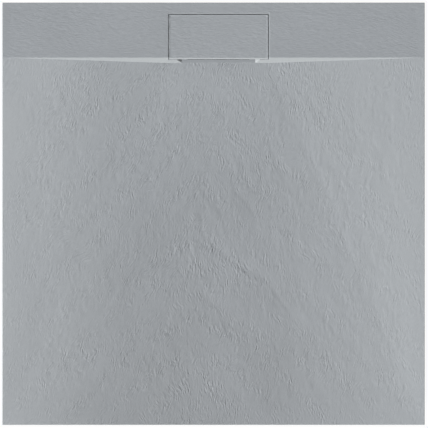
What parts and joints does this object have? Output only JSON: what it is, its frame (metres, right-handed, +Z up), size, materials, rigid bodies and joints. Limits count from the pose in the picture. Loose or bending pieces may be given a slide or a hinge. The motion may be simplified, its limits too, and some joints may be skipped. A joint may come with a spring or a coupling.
{
  "type": "shower tray",
  "caption": "Square slate-effect shower tray, falling to a level rear ledge with a lift-off cover over its sump, waste flange, strainer and trap.",
  "frame": {"origin": "centre of the tray's underside, which lies on the screed or floor; the trap hangs below it", "axes": "+Z up, +Y towards the wall behind the ledge, +X to the right for someone who faces that wall"},
  "size_m": [0.9, 0.9, 0.093],
  "materials": {
    "slate_tray": "matte",
    "slate_cover": "matte",
    "silicone": "matte",
    "black_rubber": "matte",
    "stainless": "satin",
    "polished_steel": "polished",
    "brass": "satin",
    "grey_plastic": "satin",
    "white_plastic": "satin",
    "cup_plastic": "satin"
  },
  "bodies": {
    "root": {"tray": "slate_tray", "flange_gasket": "black_rubber", "waste_flange": "stainless", "flange_screws": "stainless", "screw_inserts": "brass", "lower_gasket": "black_rubber", "trap_body": "grey_plastic", "outlet_pipe": "white_plastic", "outlet_seal": "black_rubber", "outlet_nut": "white_plastic"},
    "cup": {"dip_cup": "cup_plastic", "cup_seal": "black_rubber"},
    "strainer": {"hair_strainer": "polished_steel"},
    "cover": {"drain_cover": "slate_cover", "cover_pads": "silicone"}
  },
  "joints": [
    {"name": "cup_lift", "type": "slide", "parent": "root", "child": "cup", "axis": [0, 0, 1], "range_m": [0, 0.06]},
    {"name": "strainer_lift", "type": "slide", "parent": "cup", "child": "strainer", "axis": [0, 0, 1], "range_m": [0, 0.06]},
    {"name": "cover_lift", "type": "slide", "parent": "strainer", "child": "cover", "axis": [0, 0, 1], "range_m": [0, 0.08]}
  ]
}
